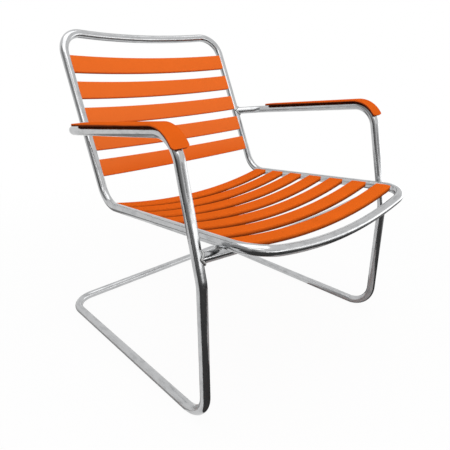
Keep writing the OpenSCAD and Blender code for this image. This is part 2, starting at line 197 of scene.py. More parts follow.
class Value:
    """A node's output. Its arithmetic adds Math nodes to the same tree."""

    def __init__(self, tree, socket):
        self.tree, self.socket = tree, socket

    def __getitem__(self, key):
        return Value(self.tree, self.socket.node.outputs[key])

    def math(self, operation, *others, first=None):
        values = [self if first is None else first, *others]
        return self.tree.add("ShaderNodeMath", {"operation": operation}, dict(enumerate(values)))

    def __add__(self, other):
        return self.math("ADD", other)

    def __mul__(self, other):
        return self.math("MULTIPLY", other)

    __radd__, __rmul__ = __add__, __mul__

    def __sub__(self, other):
        return self.math("SUBTRACT", other)

    def __rsub__(self, other):
        return self.math("SUBTRACT", self, first=other)

    def __truediv__(self, other):
        return self.math("DIVIDE", other)

    def smooth(self, low, high):
        """0 below low, 1 above high and smooth between."""
        ranged = {"Value": self, "From Min": low, "From Max": high}
        return self.tree.add("ShaderNodeMapRange", {"interpolation_type": "SMOOTHSTEP"}, ranged)


class Tree:
    """A node tree that nodes are added to in one line each."""

    def __init__(self, tree):
        self.tree = tree

    def add(self, kind, settings=None, sockets=None, out=0):
        node = self.tree.nodes.new(kind)
        for name, value in (settings or {}).items():
            setattr(node, name, value)
        for key, value in (sockets or {}).items():
            if isinstance(value, Value):
                self.tree.links.new(value.socket, node.inputs[key])
            else:
                node.inputs[key].default_value = value
        return Value(self, node.outputs[out]) if node.outputs else node

    def vector(self, operation, a, b=(0, 0, 0)):
        out = 1 if operation in ("DOT_PRODUCT", "LENGTH") else 0
        return self.add("ShaderNodeVectorMath", {"operation": operation}, {0: a, 1: b}, out)

    def blend(self, factor, a, b):
        """Mixes two colours."""
        return self.add("ShaderNodeMix", {"data_type": "RGBA"}, {0: factor, 6: a, 7: b}, out=2)

    def split(self, vector):
        """The X, Y and Z of a vector, by name."""
        return self.add("ShaderNodeSeparateXYZ", None, {"Vector": vector})

    def noise(self, at, scale, detail, roughness=0.5):
        sockets = {"Vector": at, "Scale": scale, "Detail": detail, "Roughness": roughness}
        return self.add("ShaderNodeTexNoise", None, sockets)


def rgba(colour_value):
    return (*colour_value, 1.0)


def new_material(name):
    material = bpy.data.materials.new(name)
    material.use_nodes = True
    material.node_tree.nodes.clear()
    return material, Tree(material.node_tree)


def close_material(tree, sockets, relief, depth):
    """Adds the shader with its sockets, and a relief that is depth metres deep."""
    normal = tree.add("ShaderNodeBump", None, {"Strength": 1.0, "Distance": depth, "Height": relief})
    shader = tree.add("ShaderNodeBsdfPrincipled", None, {**sockets, "Normal": normal})
    tree.add("ShaderNodeOutputMaterial", None, {"Surface": shader})


def steel_material():
    """Bright zinc coated tube: dull patches, streaks along the tube, spots and fine scratches."""
    look = settings().finish
    material, tree = new_material("bright_tube_steel")
    place = tree.add("ShaderNodeAttribute", {"attribute_name": PLACE}, out="Vector")

    def zinc_noise(along, across, detail, roughness=0.5):
        """Noise with its waves per metre given along and across the tube."""
        return tree.noise(tree.vector("MULTIPLY", place, (along, across, across)), 1.0, detail, roughness)

    streaks = zinc_noise(9, 210, 4.0, 0.6)
    scratches = zinc_noise(30, 1500, 2.0)
    clouds = zinc_noise(38, 90, 5.0, 0.65)
    spots = zinc_noise(420, 420, 3.0, 0.7).smooth(0.62, 0.72)
    grains = tree.add("ShaderNodeTexVoronoi", {"feature": "SMOOTH_F1"}, {"Vector": place, "Scale": 260.0})
    patches = clouds.smooth(0.42, 0.74)
    dull = (patches * 0.55 + streaks.smooth(0.5, 0.75) * 0.35 + spots * 0.4).math("MINIMUM", 1.0)
    tint = tree.blend(dull, rgba(look.steel), rgba(look.dull_steel))
    rough = 0.12 + dull * 0.12 + scratches * 0.05
    relief = clouds * 0.5 + streaks * 0.25 + scratches * 0.08 + grains * 0.1
    depth = 0.0003
    close_material(tree, {"Base Color": tint, "Metallic": 1.0, "Roughness": rough}, relief, depth)
    return material


def weld_material(name, base, dark, metallic, roughness):
    """Bead metal, with dull clouds and grit."""
    material, tree = new_material(name)
    at = tree.add("ShaderNodeTexCoord", out="Object")
    clouds = tree.noise(at, 330.0, 4.0, 0.65)
    grit = tree.noise(at, 1900.0, 2.0)
    dull = clouds.smooth(0.35, 0.7)
    tint = tree.blend(dull, rgba(base), rgba(dark))
    sockets = {"Base Color": tint, "Metallic": metallic, "Roughness": roughness + dull * 0.15}
    depth = 0.0005
    close_material(tree, sockets, clouds * 0.7 + grit * 0.3, depth)
    return material


def arm_height(tree, at):
    """Height above the centre line of the arm, whose front bend it follows."""
    tube = settings().tubes
    chair = Chair(tube, settings().slats)
    knee, arm, elbow = chair.base(RIGHT)[2:5]
    back = unit(elbow - arm)
    up = ACROSS.cross(back)
    centre = arm + back * set_back(knee, arm, elbow, tube.arm_bend) - up * tube.arm_bend
    ahead = tree.vector("DOT_PRODUCT", at, back) - centre.dot(back)
    above = tree.vector("DOT_PRODUCT", at, up) - centre.dot(up)
    ahead = ahead.math("MINIMUM", 0.0)
    return (ahead * ahead + above * above).math("POWER", 0.5) - tube.arm_bend


def lip_painted_shade(tree, at):
    """Mask of painted shade: 1 on the lower part of a slat's folded edges, by the point's place in the
    section.
    """
    depth = settings().slats.depth
    unshaded_share, shaded_share = 0.2, 0.85
    place = tree.add("ShaderNodeAttribute", {"attribute_name": PLACE}, out="Vector")
    down = 0.0 - tree.split(place)["Z"]
    return down.smooth(depth * unshaded_share, depth * shaded_share)


def pad_painted_shade(tree, at):
    """Mask of painted shade: 1 on a pad's underside and lower sides. It thins to the front of the arm, up to
    the bend.
    """
    look = settings().finish
    rear_y, front_y, bend_y, bend_end_y = 0.1, -0.15, -0.16, -0.205
    normal = tree.split(tree.add("ShaderNodeNewGeometry", out="Normal"))
    below = (0.0 - normal["Z"]).smooth(-0.2, 0.3)
    aside = normal["X"].math("ABSOLUTE").smooth(0.3, 0.8).math("MAXIMUM", below)
    y = tree.split(at)["Y"]
    ahead = (1 - y.smooth(front_y, rear_y)) * y.smooth(bend_end_y, bend_y)
    height = arm_height(tree, at) + ahead * look.shade_taper
    return aside * (1 - height.smooth(look.shade_low, look.shade_high))


def paint_material(name, fresh, painted_shade_colour, painted_shade_at, painted_light=None):
    """Satin paint: faint brush clouds, orange peel, dust specks, and painted shade where the given mask gives
    1.

    A lighter colour, painted light, takes over with the height above the seat, and less so near the top.
    """
    painted_light_from, painted_light_full, ease_from, ease_full = 0.38, 0.44, 0.5, 0.7
    most, eased = 0.85, 0.4
    material, tree = new_material(name)
    at = tree.add("ShaderNodeTexCoord", out="Object")
    clouds = tree.noise(at, 22.0, 4.0, 0.6)
    peel = tree.noise(at, 620.0, 2.0)
    specks = tree.noise(at, 900.0, 1.0).smooth(0.70, 0.76)
    painted_shade = (painted_shade_at(tree, at) * (0.75 + clouds * 0.3)).math("MINIMUM", 1.0)
    tone = tree.blend(clouds.smooth(0.3, 0.75) * 0.3, rgba(fresh), rgba([c * 0.80 for c in fresh]))
    # Painted light: the back's paint turns lighter with height.
    if painted_light is not None:
        height = tree.split(at)["Z"]
        share_kept = most - height.smooth(ease_from, ease_full) * eased
        tone = tree.blend(height.smooth(painted_light_from, painted_light_full) * share_kept, tone, rgba(painted_light))
    tone = tree.blend(specks * 0.35, tone, rgba(settings().finish.dust_and_shade_paint))
    # Painted shade: the mask darkens the paint towards the given shade colour.
    tone = tree.blend(painted_shade, tone, rgba(painted_shade_colour))
    sockets = {
        "Base Color": tone, "Metallic": 0.0, "Roughness": 0.42 + clouds * 0.12 + painted_shade * 0.15,
        "Specular IOR Level": 0.0, "Coat Weight": 0.0,
    }
    depth = 0.00018
    close_material(tree, sockets, peel * 0.6 + clouds * 0.2 + specks * 0.2, depth)
    return material


# Geometry of the chair

def unit(v):
    return v.normalized()


def turned(before, corner, after):
    return unit(corner - before).angle(unit(after - corner))


def set_back(before, corner, after, bend):
    return bend * math.tan(turned(before, corner, after) / 2)


def bow_slope(half_spacing, bow, bend):
    return 2 * math.atan(bow / (half_spacing + bend))


def bow_radius(before, corner, middle, after, bend, clamp):
    straight = (middle - corner).length - set_back(before, corner, middle, bend) - clamp
    return straight / math.tan(turned(corner, middle, after) / 2)


class Chair:
    """Places of the chair's corners, worked out from the sizes as the solids' source does."""

    def __init__(self, tube, slat):
        self.tube, self.slat = tube, slat
        self.r = tube.diameter / 2
        rise, lean_back = tube.seat_rise, tube.back_lean
        self.seat_fore = Vector((0, -math.cos(rise), math.sin(rise)))
        self.seat_up = Vector((0, math.sin(rise), math.cos(rise)))
        self.back_up = Vector((0, math.sin(lean_back), math.cos(lean_back)))
        self.back_fore = Vector((0, -math.cos(lean_back), math.sin(lean_back)))
        front_reach = tube.seat_length * math.cos(rise) - tube.hip_back + tube.front_bow * math.sin(rise)
        self.leg_y = (front_reach - tube.runner_length) / 2
        self.hip_mid = Vector((0, self.leg_y + tube.hip_back, tube.hip_height))
        self.front_mid = self.hip_mid + tube.seat_length * self.seat_fore
        self.top_mid = self.hip_mid + tube.back_length * self.back_up

    def base(self, side):
        """Corners of the arm and base tube on one side, from the rear floor corner to the arm's end."""
        t = self.tube
        x = side * t.leg_spacing / 2
        arm = Vector((x, self.leg_y + t.arm_setback, t.arm_height))
        return [
            Vector((side * t.rear_spacing / 2, self.leg_y + t.runner_length, self.r)),
            Vector((x, self.leg_y, self.r)),
            Vector((x, self.leg_y, t.knee_height)),
            arm,
            arm + Vector((0, t.arm_length, -t.arm_fall)),
            self.arm_joint(side),
        ]

    def hip(self, side):
        return self.hip_mid + side * self.tube.hip_spacing / 2 * ACROSS

    def front(self, side):
        return self.front_mid + side * self.tube.front_spacing / 2 * ACROSS

    def top(self, side):
        return self.top_mid + side * self.tube.top_spacing / 2 * ACROSS

    def arm_joint(self, side):
        return self.hip(side).lerp(self.top(side), self.tube.arm_joint / self.tube.back_length)

    def base_route(self):
        t = self.tube
        bends = [t.rear_bend, t.foot_bend, t.knee_bend, t.arm_bend, t.arm_end_bend, 0]
        return self.base(LEFT)[::-1] + self.base(RIGHT), bends[::-1] + bends

    def loop_route(self):
        t = self.tube
        top_slope = bow_slope(t.top_spacing / 2, t.top_bow, t.top_bend)
        front_slope = bow_slope(t.front_spacing / 2, t.front_bow, t.front_bend)
        top_bow = self.top_mid - t.top_spacing / 2 * math.tan(top_slope) * self.back_fore
        front_bow = self.front_mid - t.front_spacing / 2 * math.tan(front_slope) * self.seat_up
        top_radius = bow_radius(self.hip(LEFT), self.top(LEFT), top_bow, self.top(RIGHT), t.top_bend, t.clamp)
        front_radius = bow_radius(
            self.hip(LEFT), self.front(LEFT), front_bow, self.front(RIGHT), t.front_bend, t.clamp)
        route = [
            front_bow, self.front(LEFT), self.hip(LEFT), self.top(LEFT),
            top_bow, self.top(RIGHT), self.hip(RIGHT), self.front(RIGHT),
        ]
        bends = [
            front_radius, t.front_bend, t.hip_bend, t.top_bend,
            top_radius, t.top_bend, t.hip_bend, t.front_bend,
        ]
        return route, bends

    def seat_half(self, at):
        t = self.tube
        return (t.hip_spacing + (t.front_spacing - t.hip_spacing) * at / t.seat_length) / 2

    def back_half(self, at):
        t = self.tube
        return (t.top_spacing + (t.hip_spacing - t.top_spacing) * at / t.back_length) / 2

    def leg(self, side):
        corners = self.base(side)
        return corners[2], corners[3]

    def bar_route(self):
        t = self.tube
        half = t.leg_spacing / 2
        slope = bow_slope(half, t.bar_bow, t.bar_straight)
        radius = (half / math.cos(slope) - t.bar_straight) / math.tan(slope)
        knee, arm = self.leg(LEFT)
        leg_up = unit(arm - knee)

        def on_leg(depth):
            """Point of the leg's centre line at a depth below the rails' plane."""
            drop = depth + (knee - self.hip_mid).dot(self.seat_up)
            return knee - leg_up * (drop / leg_up.dot(self.seat_up))

        rail_out = self.seat_half((on_leg(0) - self.hip_mid).dot(self.seat_fore))
        sink = t.bar_bow - radius + math.sqrt(radius ** 2 - rail_out ** 2)
        end = on_leg(2 * self.r + t.saddle_height - sink)
        other = Vector((-end.x, end.y, end.z))
        middle = (end + other) / 2 - half * math.tan(slope) * self.seat_up
        return [end, middle, other], [0, radius, 0]

    def slat_frame(self, name, index):
        """Middle, up and width directions, half gap at the middle, dish and rail lines of a slat."""
        s = self.slat
        if name == "seat":
            at = s.seat_start + s.width / 2 + index * s.seat_pitch
            middle = self.hip_mid + at * self.seat_fore
            rails = {side: (self.hip(side), self.front(side)) for side in (LEFT, RIGHT)}
            return middle, self.seat_up, -self.seat_fore, self.seat_half(at), s.seat_dish, rails
        at = s.back_start + s.width / 2 + index * s.back_pitch
        middle = self.top_mid - at * self.back_up
        rails = {side: (self.top(side), self.hip(side)) for side in (LEFT, RIGHT)}
        return middle, self.back_fore, self.back_up, self.back_half(at), s.back_dish, rails

    def dish(self, half, dish):
        """Radius of a dish and the height of its centre above the rails."""
        meet_in = self.r * math.cos(self.slat.meet)
        meet_up = self.r * math.sin(self.slat.meet)
        radius = ((half - meet_in) ** 2 + dish ** 2) / (2 * dish)
        return radius, meet_up - dish + radius


def reach_tube(point, direction, line, radius):
    """How far from a point, along a direction, the wall of a tube round a line is met from outside."""
    axis = unit(line[1] - line[0])
    w = point - line[0]
    w = w - w.dot(axis) * axis
    d = direction - direction.dot(axis) * axis
    along, square = w.dot(d), d.length_squared
    root = along ** 2 - square * (w.length_squared - radius ** 2)
    return (-along - math.sqrt(max(root, 0))) / square


# Curves, geometry node trees and finished meshes

def curve_object(name, splines):
    """Poly curves. Each spline is (points, radii, cyclic)."""
    data = bpy.data.curves.new(name, "CURVE")
    data.dimensions = "3D"
    for points, radii, cyclic in splines:
        spline = data.splines.new("POLY")
        spline.points.add(len(points) - 1)
        for target, point, radius in zip(spline.points, points, radii):
            target.co = (*point, 1)
            target.radius = radius
        spline.use_cyclic_u = cyclic
    item = bpy.data.objects.new(name, data)
    bpy.context.scene.collection.objects.link(item)
    return item


def new_geometry_tree(name, sizes):
    group = bpy.data.node_groups.new(name, "GeometryNodeTree")
    group.interface.new_socket("Geometry", in_out="INPUT", socket_type="NodeSocketGeometry")
    for label, (kind, default) in sizes.items():
        socket = group.interface.new_socket(label, in_out="INPUT", socket_type=kind)
        if default is not None:
            socket.default_value = default
    group.interface.new_socket("Geometry", in_out="OUTPUT", socket_type="NodeSocketGeometry")
    tree = Tree(group)
    return group, tree, tree.add("NodeGroupInput")


def close_geometry_tree(tree, mesh, given):
    smooth = tree.add("GeometryNodeSetShadeSmooth", None, {"Geometry": mesh})
    real = tree.add("GeometryNodeRealizeInstances", None, {"Geometry": smooth})
    done = tree.add("GeometryNodeSetMaterial", None, {"Geometry": real, "Material": given["Material"]})
    tree.add("NodeGroupOutput", None, {0: done})


def keep_place(tree, rail, profile, scale=1.0):
    """Sweeps a profile along a rail, and keeps each point's place: along, and across the profile."""
    along = tree.add("GeometryNodeSplineParameter", out="Length")
    rail = tree.add(
        "GeometryNodeStoreNamedAttribute", {"data_type": "FLOAT", "domain": "POINT"},
        {"Geometry": rail, "Name": "along", "Value": along})
    position = tree.add("GeometryNodeInputPosition")
    profile = tree.add(
        "GeometryNodeStoreNamedAttribute", {"data_type": "FLOAT_VECTOR", "domain": "POINT"},
        {"Geometry": profile, "Name": "across", "Value": position})
    mesh = tree.add(
        "GeometryNodeCurveToMesh", None,
        {"Curve": rail, "Profile Curve": profile, "Scale": scale, "Fill Caps": True})
    along = tree.add("GeometryNodeInputNamedAttribute", {"data_type": "FLOAT"}, {"Name": "along"})
    across = tree.add("GeometryNodeInputNamedAttribute", {"data_type": "FLOAT_VECTOR"}, {"Name": "across"})
    parts = tree.split(across)
    place = tree.add("ShaderNodeCombineXYZ", None, {"X": along, "Y": parts["X"], "Z": parts["Y"]})
    return tree.add(
        "GeometryNodeStoreNamedAttribute", {"data_type": "FLOAT_VECTOR", "domain": "POINT"},
        {"Geometry": mesh, "Name": PLACE, "Value": place})


def tube_tree():
    """Bends a round tube along a route of corners. A corner's own radius is its bend."""
    sizes = {
        "Tube Radius": ("NodeSocketFloat", 0.01),
        "Sides": ("NodeSocketInt", 40),
        "Bend Steps": ("NodeSocketInt", 22),
        "Material": ("NodeSocketMaterial", None),
    }
    group, tree, given = new_geometry_tree("Bent Tube", sizes)
    bend = tree.add("GeometryNodeInputRadius")
    route = tree.add(
        "GeometryNodeFilletCurve", {"mode": "POLY"},
        {"Curve": given["Geometry"], "Count": given["Bend Steps"], "Radius": bend})
    ring = tree.add(
        "GeometryNodeCurvePrimitiveCircle", {"mode": "RADIUS"},
        {"Resolution": given["Sides"], "Radius": given["Tube Radius"]})
    close_geometry_tree(tree, keep_place(tree, route, ring), given)
    return group


def slat_tree():
    """Sweeps a channel of folded sheet along a dished path."""
    sizes = {
        "Section": ("NodeSocketObject", None),
        "Width Direction": ("NodeSocketVector", (0.0, 1.0, 0.0)),
        "Material": ("NodeSocketMaterial", None),
    }
    group, tree, given = new_geometry_tree("Dished Slat", sizes)
    facing = tree.add(
        "GeometryNodeSetCurveNormal", {"mode": "FREE"},
        {"Curve": given["Geometry"], "Normal": given["Width Direction"]})
    section = tree.add("GeometryNodeObjectInfo", None, {"Object": given["Section"]}, out="Geometry")
    close_geometry_tree(tree, keep_place(tree, facing, section), given)
    return group


def weld_tree():
    """Lays a rippled weld bead along each path. A path's own radius is the bead's. Open ends round off."""
    sizes = {
        "Ripple Length": ("NodeSocketFloat", 0.0016),
        "Ripple Share": ("NodeSocketFloat", 0.16),
        "Seed": ("NodeSocketInt", 7),
        "Material": ("NodeSocketMaterial", None),
    }
    group, tree, given = new_geometry_tree("Rippled Weld", sizes)
    step = given["Ripple Length"] * 0.25
    fine = tree.add(
        "GeometryNodeResampleCurve", {"mode": "LENGTH"}, {"Curve": given["Geometry"], "Length": step})
    spline = tree.add("GeometryNodeSplineParameter")
    length, factor = spline["Length"], spline["Factor"]
    wave = (length / given["Ripple Length"] * math.pi).math("SINE").math("ABSOLUTE")
    end = (factor - 0.5).math("ABSOLUTE") * 2.0
    is_open = 1 - tree.add("GeometryNodeInputSplineCyclic")
    taper = (1 - (end.math("POWER", 10.0) * 0.9) * is_open).math("SQRT")
    least, most = -0.06, 0.06
    uneven = tree.add(
        "FunctionNodeRandomValue", {"data_type": "FLOAT"}, {2: least, 3: most, "Seed": given["Seed"]}, out=1)
    own = tree.add("GeometryNodeInputRadius")
    radius = own * taper * (1 - given["Ripple Share"] * (1 - wave) + uneven)
    sides = 12
    ring = tree.add(
        "GeometryNodeCurvePrimitiveCircle", {"mode": "RADIUS"}, {"Resolution": sides, "Radius": 1.0})
    close_geometry_tree(tree, keep_place(tree, fine, ring, radius), given)
    return group


def baked(item, group, inputs):
    """Runs a geometry tree on a curve and keeps its result as a plain mesh object of the same name."""
    sharp_from = math.radians(50)
    modifier = item.modifiers.new("Shape", "NODES")
    modifier.node_group = group
    sockets = {s.name: s.identifier for s in group.interface.items_tree if s.in_out == "INPUT"}
    for name, value in inputs.items():
        modifier[sockets[name]] = value
    item.update_tag()
    bpy.context.view_layer.update()
    graph = bpy.context.evaluated_depsgraph_get()
    mesh = bpy.data.meshes.new_from_object(item.evaluated_get(graph), depsgraph=graph)
    name = item.name
    item.modifiers.clear()
    bpy.data.objects.remove(item)
    made = bpy.data.objects.new(name, mesh)
    bpy.context.scene.collection.objects.link(made)
    mesh.set_sharp_from_angle(angle=sharp_from)
    return made


def finish_piece(piece, slot, *nodes):
    """Puts a piece in place of its nodes. The tubes mirror no orange, so no mirror ray sees the slats."""
    piece.visible_glossy = slot != "orange_paint"
    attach(piece, BODY)
    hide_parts(*nodes)


def paint_node(name, material):
    """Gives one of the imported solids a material. Its mesh stays as it is."""
    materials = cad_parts[name].data.materials
    materials.clear()
    materials.append(material)


def end_rings(mesh):
    """Indices of the points of a swept mesh's first and last ring."""
    along = [d.vector[0] for d in mesh.attributes[PLACE].data]
    near = 1e-6
    return [[i for i, a in enumerate(along) if abs(a - end) < near] for end in (min(along), max(along))]


def cope(piece, ends):
    """Cuts a piece's ends to the tubes that they meet. Each end is (outward direction, tube line, radius)."""
    mesh = piece.data
    for ring, (direction, line, radius) in zip(end_rings(mesh), ends):
        for i in ring:
            start = mesh.vertices[i].co - direction * radius * 2
            mesh.vertices[i].co = start + direction * reach_tube(start, direction, line, radius)


# Operators

class LOUNGE_OT_frame_tubes(bpy.types.Operator):
    """Make the two bent tubes of the frame and the cross bar"""

    bl_idname = "lounge.frame_tubes"
    bl_label = "Frame Tubes"

    def execute(self, context):
        chair = Chair(settings().tubes, settings().slats)
        group, steel = tube_tree(), steel_material()
        pieces = {}
        for node, (route, bends), cyclic in (
            ("arm_and_base_tube", chair.base_route(), False),
            ("seat_and_back_tube", chair.loop_route(), True),
            ("cross_bar", chair.bar_route(), False),
        ):
            item = curve_object(node + "_skin", [(route, bends, cyclic)])
            pieces[node] = baked(item, group, {"Tube Radius": chair.r, "Material": steel})
            finish_piece(pieces[node], "bright_tube", node)
        gap = chair.r + settings().welds.cope
        cope(pieces["arm_and_base_tube"], [
            (unit(chair.arm_joint(side) - chair.base(side)[4]), (chair.hip(side), chair.top(side)), gap)
            for side in (LEFT, RIGHT)
        ])
        left, middle, right = chair.bar_route()[0]
        cope(pieces["cross_bar"], [
            (unit(end - middle), chair.leg(side), gap) for end, side in ((left, LEFT), (right, RIGHT))
        ])
        return {"FINISHED"}


class LOUNGE_OT_slats(bpy.types.Operator):
    """Make the dished slats of seat and back"""

    bl_idname = "lounge.slats"
    bl_label = "Slats"

    def execute(self, context):
        slat, look = settings().slats, settings().finish
        chair, group = Chair(settings().tubes, slat), slat_tree()
        paint = paint_material("orange_paint_slats", look.paint, look.dust_and_shade_paint, lip_painted_shade, look.back_painted_light)
        section = curve_object("slat_section", [(*self.section(slat), True)])
        for name, count in (("back", slat.back_count), ("seat", slat.seat_count)):
            for index in range(count):
                self.slat(chair, name, index, group, {"Section": section, "Material": paint})
        bpy.data.objects.remove(section)
        return {"FINISHED"}

    def slat(self, chair, name, index, group, inputs):
        """One slat, swept along its dish and cut to the two rails."""
        gap = settings().welds.cope
        middle, up, width, half, dish, rails = chair.slat_frame(name, index)
        radius, centre = chair.dish(half, dish)
        reach = math.asin((half - chair.r * (1 - math.sin(chair.slat.meet)) - gap) / radius)
        steps = 48
        angles = [reach * (2 * i / steps - 1) for i in range(steps + 1)]
        path = [
            middle + ACROSS * radius * math.sin(a) + up * (centre - radius * math.cos(a))
            for a in angles
        ]
        node = f"{name}_slat_{index + 1}"
        item = curve_object(node + "_skin", [(path, [1.0] * len(path), False)])
        piece = baked(item, group, {**inputs, "Width Direction": width})
        ends = []
        for side in (RIGHT, LEFT):
            out = ACROSS * side * math.cos(reach) + up * math.sin(reach)
            ends.append((out, rails[side], chair.r + gap))
        cope(piece, ends)
        finish_piece(piece, "orange_paint", node)

    def section(self, slat):
        """Outline of the channel: x across the width, and the top face at zero with the lips below it."""
        steps = 6
        least_fold = 0.0003
        half = slat.width / 2

        def fold(side, radius, inset, order):
            """Quarter round at one long edge, on the outer or the inner face of the sheet."""
            points = []
            for i in order:
                a = math.pi / 2 * i / steps
                x = half - inset - radius * (1 - math.cos(a))
                points.append(Vector((side * x, -inset - radius * (1 - math.sin(a)), 0)))
            return points

        up, down = range(steps + 1), range(steps, -1, -1)
        inner = max(slat.fold - slat.sheet, least_fold)
        lips = [
            Vector((side * (half - inset), -slat.depth, 0))
            for side, inset in ((-1, 0), (1, 0), (1, slat.sheet), (-1, slat.sheet))
        ]
        points = [lips[0]] + fold(-1, slat.fold, 0, up) + fold(1, slat.fold, 0, down) + [lips[1], lips[2]]
        points += fold(1, inner, slat.sheet, up) + fold(-1, inner, slat.sheet, down) + [lips[3]]
        return points[::-1], [1.0] * len(points)


class LOUNGE_OT_armrests(bpy.types.Operator):
    """Paint the armrest pads"""

    bl_idname = "lounge.armrests"
    bl_label = "Armrests"

    def execute(self, context):
        look = settings().finish
        paint = paint_material("orange_paint_armrests", look.shaded_pad_orange, look.shaded_paint, pad_painted_shade)
        for node in ("armrest_left", "armrest_right"):
            paint_node(node, paint)
        return {"FINISHED"}


class LOUNGE_OT_welds(bpy.types.Operator):
    """Lay the weld beads below the slats, the rings at the tube ends and the saddles"""

    bl_idname = "lounge.welds"
    bl_label = "Welds"

    def execute(self, context):
        welds, look = settings().welds, settings().finish
        chair = Chair(settings().tubes, settings().slats)
        group = weld_tree()
        bare = weld_material("weld_metal_zinc", look.weld, look.dull_steel, 1.0, 0.3)
        painted = weld_material("painted_weld_bead", [c * 0.8 for c in look.paint], look.dust_and_shade_paint, 0.0, 0.5)
        paint_node("rail_saddles", bare)
        left, middle, right = chair.bar_route()[0]
        arm_rings = [
            self.ring(chair, chair.base(side)[4], chair.arm_joint(side), (chair.hip(side), chair.top(side)))
            for side in (LEFT, RIGHT)
        ]
        bar_rings = [
            self.ring(chair, middle, end, chair.leg(side)) for end, side in ((left, LEFT), (right, RIGHT))
        ]
        back_beads = self.slat_beads(chair, "back", chair.slat.back_count)
        seat_beads = self.slat_beads(chair, "seat", chair.slat.seat_count)
        for node, paths, bead, closed, material, slot in (
            ("arm_end_welds", arm_rings, welds.ring, True, bare, "weld_metal"),
            ("cross_bar_welds", bar_rings, welds.ring, True, bare, "weld_metal"),
            ("back_slat_welds", back_beads, welds.bead, False, painted, "painted_weld"),
            ("seat_slat_welds", seat_beads, welds.bead, False, painted, "painted_weld"),
        ):
            item = curve_object(node + "_skin", [(path, [bead] * len(path), closed) for path in paths])
            piece = baked(item, group, {
                "Ripple Length": welds.ripple, "Ripple Share": welds.ripple_share, "Seed": welds.seed,
                "Material": material,
            })
            finish_piece(piece, slot, node)
        return {"FINISHED"}

    def ring(self, chair, inner, end, line):
        """Path round a tube end, in the corner between it and the wall of the tube that it meets."""
        along = unit(end - inner)
        side = unit(along.cross(line[1] - line[0]))
        other = along.cross(side)
        out_of_corner = 0.55
        radius = chair.r + settings().welds.ring * out_of_corner
        path = []
        steps = 72
        for i in range(steps):
            a = 2 * math.pi * i / steps
            start = end - along * chair.r * 3 + (side * math.cos(a) + other * math.sin(a)) * radius
            path.append(start + along * reach_tube(start, along, line, radius))
        return path

    def slat_beads(self, chair, name, count):
        """Short paths along the rails, in the corners below the slats' ends."""
        welds, slat = settings().welds, chair.slat
        steps = 8
        paths = []
        for index in range(count):
            middle, up, width, half, dish, rails = chair.slat_frame(name, index)
            radius, centre = chair.dish(half, dish)
            r_dish = radius + slat.sheet + welds.gap + welds.bead
            r_tube = chair.r + welds.gap + welds.bead
            apart = math.hypot(half, centre)
            along = (r_dish ** 2 - r_tube ** 2 + apart ** 2) / (2 * apart)
            aside = math.sqrt(r_dish ** 2 - along ** 2)
            x = (along * half - aside * centre) / apart
            z = centre - (along * centre + aside * half) / apart
            for side, rail in rails.items():
                run = unit(rail[1] - rail[0])
                spot = middle + ACROSS * side * x + up * z
                paths.append([spot + run * welds.bead_length * (i / steps - 0.5) for i in range(steps + 1)])
        return paths


